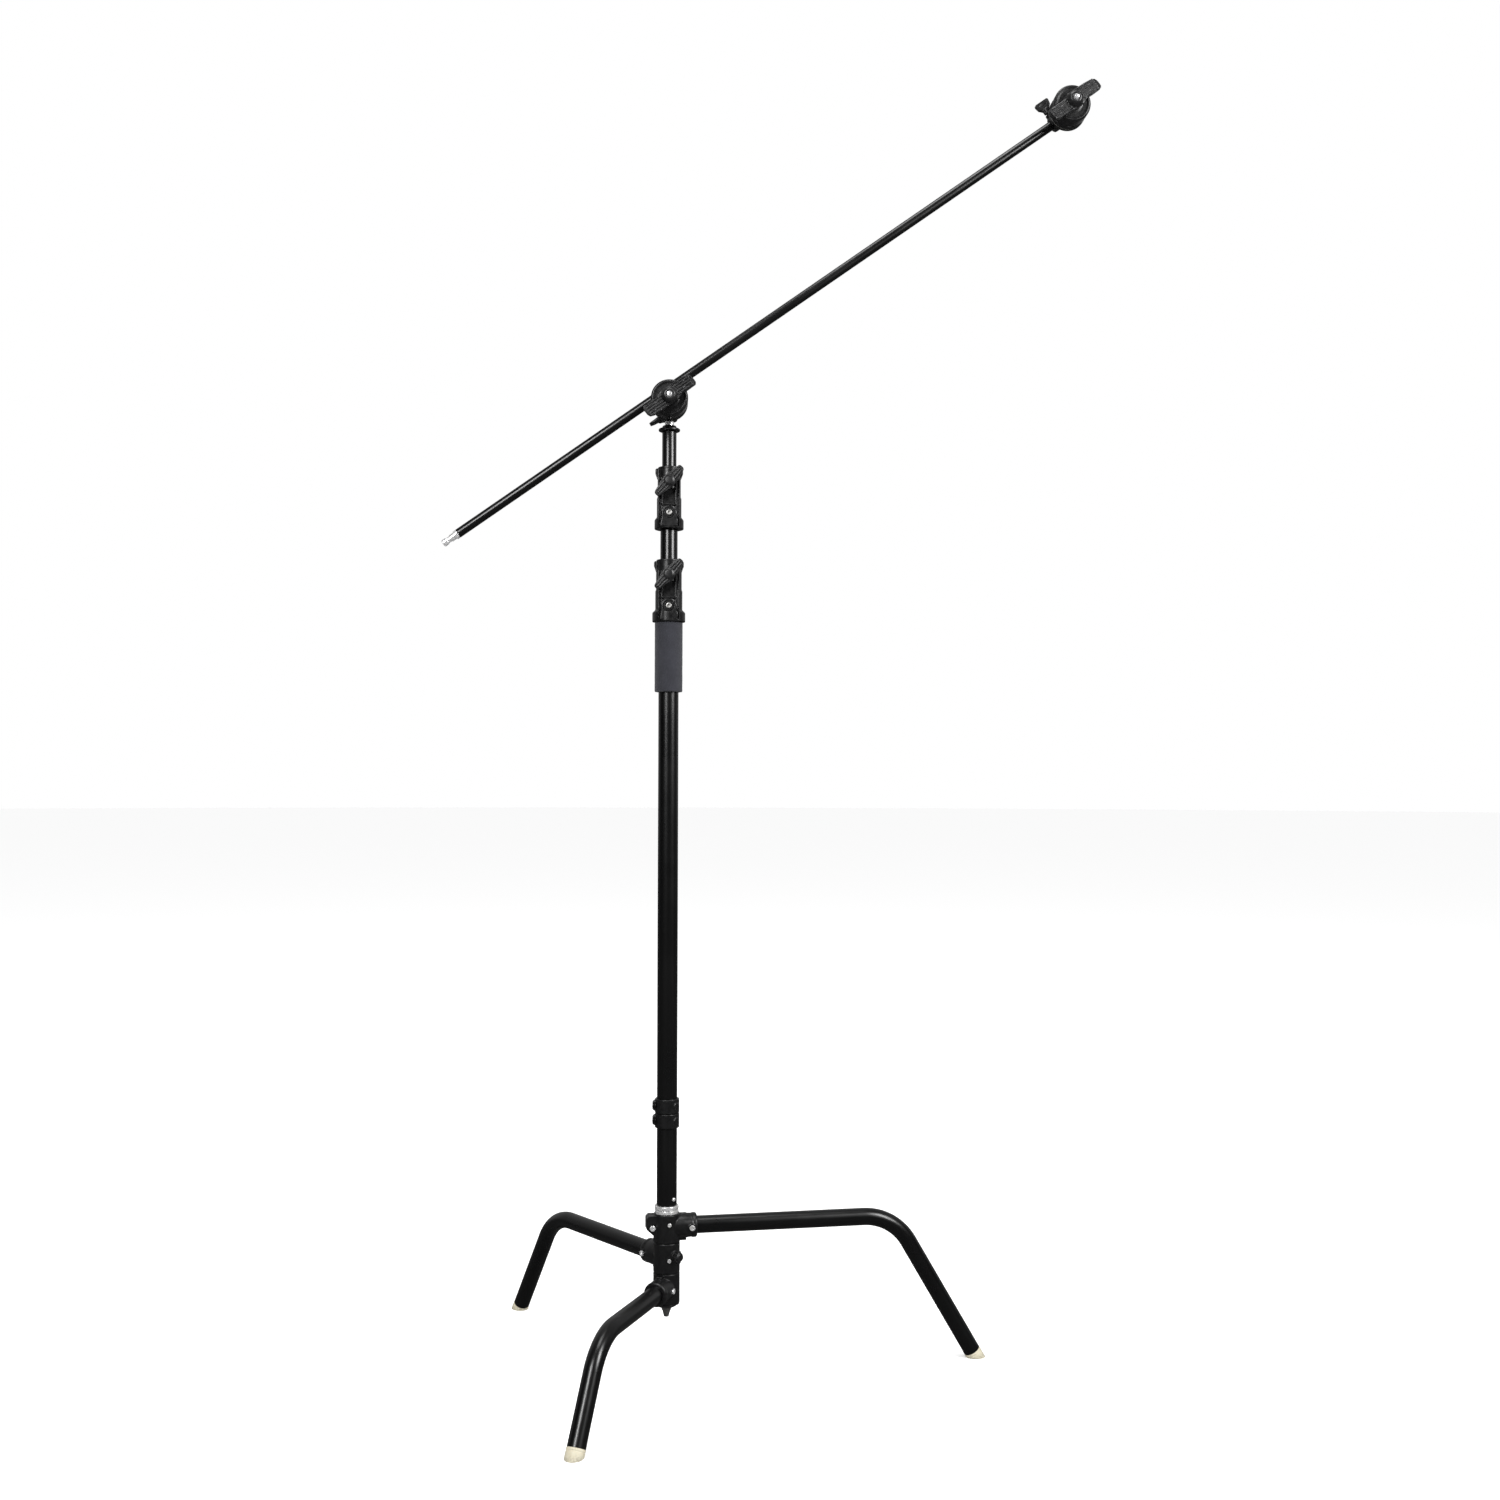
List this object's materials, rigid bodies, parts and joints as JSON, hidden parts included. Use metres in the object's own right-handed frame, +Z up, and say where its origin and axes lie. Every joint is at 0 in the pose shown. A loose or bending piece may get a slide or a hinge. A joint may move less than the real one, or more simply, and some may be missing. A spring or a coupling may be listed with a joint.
{
  "type": "c stand",
  "caption": "Folding three-leg studio stand with a lift-out telescopic column, T-lever riser locks, a foam hand grip and a long arm held in a round grip head.",
  "frame": {"origin": "middle of the bounding box in X and Y, on the floor in Z", "axes": "+Z up along the column, +X along the direction that the arm rises in, +Y away from the heads"},
  "size_m": [1.1258, 0.7426, 2.2329],
  "materials": {
    "black_paint": "satin",
    "black_casting": "fine cast texture",
    "bright_steel": "polished",
    "dull_steel": "zinc plated",
    "black_plastic": "moulded",
    "ivory_plastic": "moulded",
    "foam": "closed-cell foam",
    "fibre": "pressed fibre"
  },
  "bodies": {
    "base": {"hub_top_casting": "black_casting", "centre_post": "black_casting", "centre_nut": "dull_steel", "receiver_ring": "bright_steel", "right_leg_tube": "black_paint", "right_leg_foot": "ivory_plastic", "right_leg_screw": "bright_steel", "hub_lug_screw": "bright_steel", "hub_set_screw": "bright_steel"},
    "back_leg": {"back_leg_ring": "black_casting", "back_leg_tube": "black_paint", "back_leg_foot": "ivory_plastic", "back_leg_screw": "bright_steel", "back_ring_screw": "bright_steel"},
    "back_leg_knob": {"leg_lock_knob": "black_plastic"},
    "front_leg": {"front_leg_ring": "black_casting", "front_leg_tube": "black_paint", "front_leg_foot": "ivory_plastic", "front_leg_screw": "bright_steel"},
    "column": {"column_spigot": "dull_steel", "base_tube": "black_paint", "coupling_lower_collar": "black_casting", "coupling_upper_collar": "black_casting", "coupling_lower_screw": "dull_steel", "coupling_upper_screw": "dull_steel", "main_tube": "black_paint", "foam_grip": "foam", "lower_lock_casting": "black_casting", "lower_lock_screw": "bright_steel", "lower_lock_shoe": "fibre"},
    "button": {"release_button": "bright_steel"},
    "lower_lever": {"lower_lock_lever": "black_plastic"},
    "riser_1": {"middle_tube": "black_paint", "middle_tube_guide": "black_plastic", "upper_lock_casting": "black_casting", "upper_lock_screw": "bright_steel", "upper_lock_shoe": "fibre"},
    "upper_lever": {"upper_lock_lever": "black_plastic"},
    "riser_2": {"top_tube": "black_paint", "top_tube_guide": "black_plastic", "top_collar": "black_casting", "top_stud": "bright_steel"},
    "head_1": {"head_1_receiver": "black_casting", "head_1_bolt": "bright_steel", "head_1_friction_disc": "fibre", "head_1_washer": "dull_steel"},
    "head_1_wing": {"head_1_wing_screw": "black_plastic"},
    "head_1_jaws": {"head_1_inner_jaw": "black_casting", "head_1_outer_jaw": "black_casting"},
    "head_1_grip": {"head_1_handle": "black_plastic"},
    "arm": {"arm_tube": "black_paint", "arm_stud": "bright_steel"},
    "head_2": {"head_2_receiver": "black_casting", "head_2_bolt": "bright_steel", "head_2_friction_disc": "fibre", "head_2_washer": "dull_steel"},
    "head_2_wing": {"head_2_wing_screw": "black_plastic"},
    "head_2_jaws": {"head_2_inner_jaw": "black_casting", "head_2_outer_jaw": "black_casting"},
    "head_2_grip": {"head_2_handle": "black_plastic"}
  },
  "joints": [
    {"name": "back_leg_fold", "type": "hinge", "parent": "base", "child": "back_leg", "pos_m": [-0.17322, -0.01945, 0.2059], "axis": [0, 0, 1], "range_deg": [-120, 0]},
    {"name": "front_leg_fold", "type": "hinge", "parent": "base", "child": "front_leg", "pos_m": [-0.17322, -0.01945, 0.1541], "axis": [0, 0, 1], "range_deg": [0, 120]},
    {"name": "leg_lock_knob_turn", "type": "hinge", "parent": "back_leg", "child": "back_leg_knob", "pos_m": [-0.17322, -0.01945, 0.211], "axis": [0.6428, -0.766, 0], "range_deg": [0, 360]},
    {"name": "column_lift", "type": "slide", "parent": "base", "child": "column", "axis": [0, 0, 1], "range_m": [0, 0.155]},
    {"name": "release_button_press", "type": "slide", "parent": "column", "child": "button", "axis": [-0.6743, 0.7385, 0], "range_m": [0, 0.0026], "stiffness_N_per_m": 600, "springref_m": -0.002},
    {"name": "lower_lock_lever_turn", "type": "hinge", "parent": "column", "child": "lower_lever", "pos_m": [-0.17322, -0.05344, 1.386], "axis": [0, -1, 0], "range_deg": [0, 180]},
    {"name": "riser_1_slide", "type": "slide", "parent": "column", "child": "riser_1", "axis": [0, 0, 1], "range_m": [-0.052, 0.68]},
    {"name": "upper_lock_lever_turn", "type": "hinge", "parent": "riser_1", "child": "upper_lever", "pos_m": [-0.17322, -0.05144, 1.548], "axis": [0, -1, 0], "range_deg": [0, 180]},
    {"name": "riser_2_slide", "type": "slide", "parent": "riser_1", "child": "riser_2", "axis": [0, 0, 1], "range_m": [-0.055, 0.68]},
    {"name": "head_1_swivel", "type": "hinge", "parent": "riser_2", "child": "head_1", "pos_m": [-0.17322, -0.01945, 1.6865], "axis": [0, 0, 1], "continuous": true},
    {"name": "head_1_wing_screw_turn", "type": "hinge", "parent": "head_1", "child": "head_1_wing", "pos_m": [-0.17322, -0.01945, 1.6655], "axis": [-0.6018, 0.7986, 0], "range_deg": [0, 360]},
    {"name": "head_1_tilt", "type": "hinge", "parent": "head_1", "child": "head_1_jaws", "pos_m": [-0.17322, -0.05344, 1.6865], "axis": [0, -1, 0], "range_deg": [-95, 25]},
    {"name": "head_1_handle_turn", "type": "hinge", "parent": "head_1", "child": "head_1_grip", "pos_m": [-0.17322, -0.09144, 1.6865], "axis": [0, -1, 0], "range_deg": [0, 360]},
    {"name": "arm_slide", "type": "slide", "parent": "head_1_jaws", "child": "arm", "axis": [0.8161, 0, 0.5779], "range_m": [-0.7, 0.38]},
    {"name": "head_2_swivel", "type": "hinge", "parent": "arm", "child": "head_2", "pos_m": [0.51808, -0.05344, 2.19753], "axis": [0.8161, 0, 0.5779], "continuous": true},
    {"name": "head_2_wing_screw_turn", "type": "hinge", "parent": "head_2", "child": "head_2_wing", "pos_m": [0.50094, -0.05344, 2.1854], "axis": [-0.5779, 0, 0.8161], "range_deg": [0, 360]},
    {"name": "head_2_tilt", "type": "hinge", "parent": "head_2", "child": "head_2_jaws", "pos_m": [0.51808, -0.08744, 2.19753], "axis": [0, -1, 0], "continuous": true},
    {"name": "head_2_handle_turn", "type": "hinge", "parent": "head_2", "child": "head_2_grip", "pos_m": [0.51808, -0.11944, 2.19753], "axis": [0, -1, 0], "range_deg": [0, 360]}
  ]
}
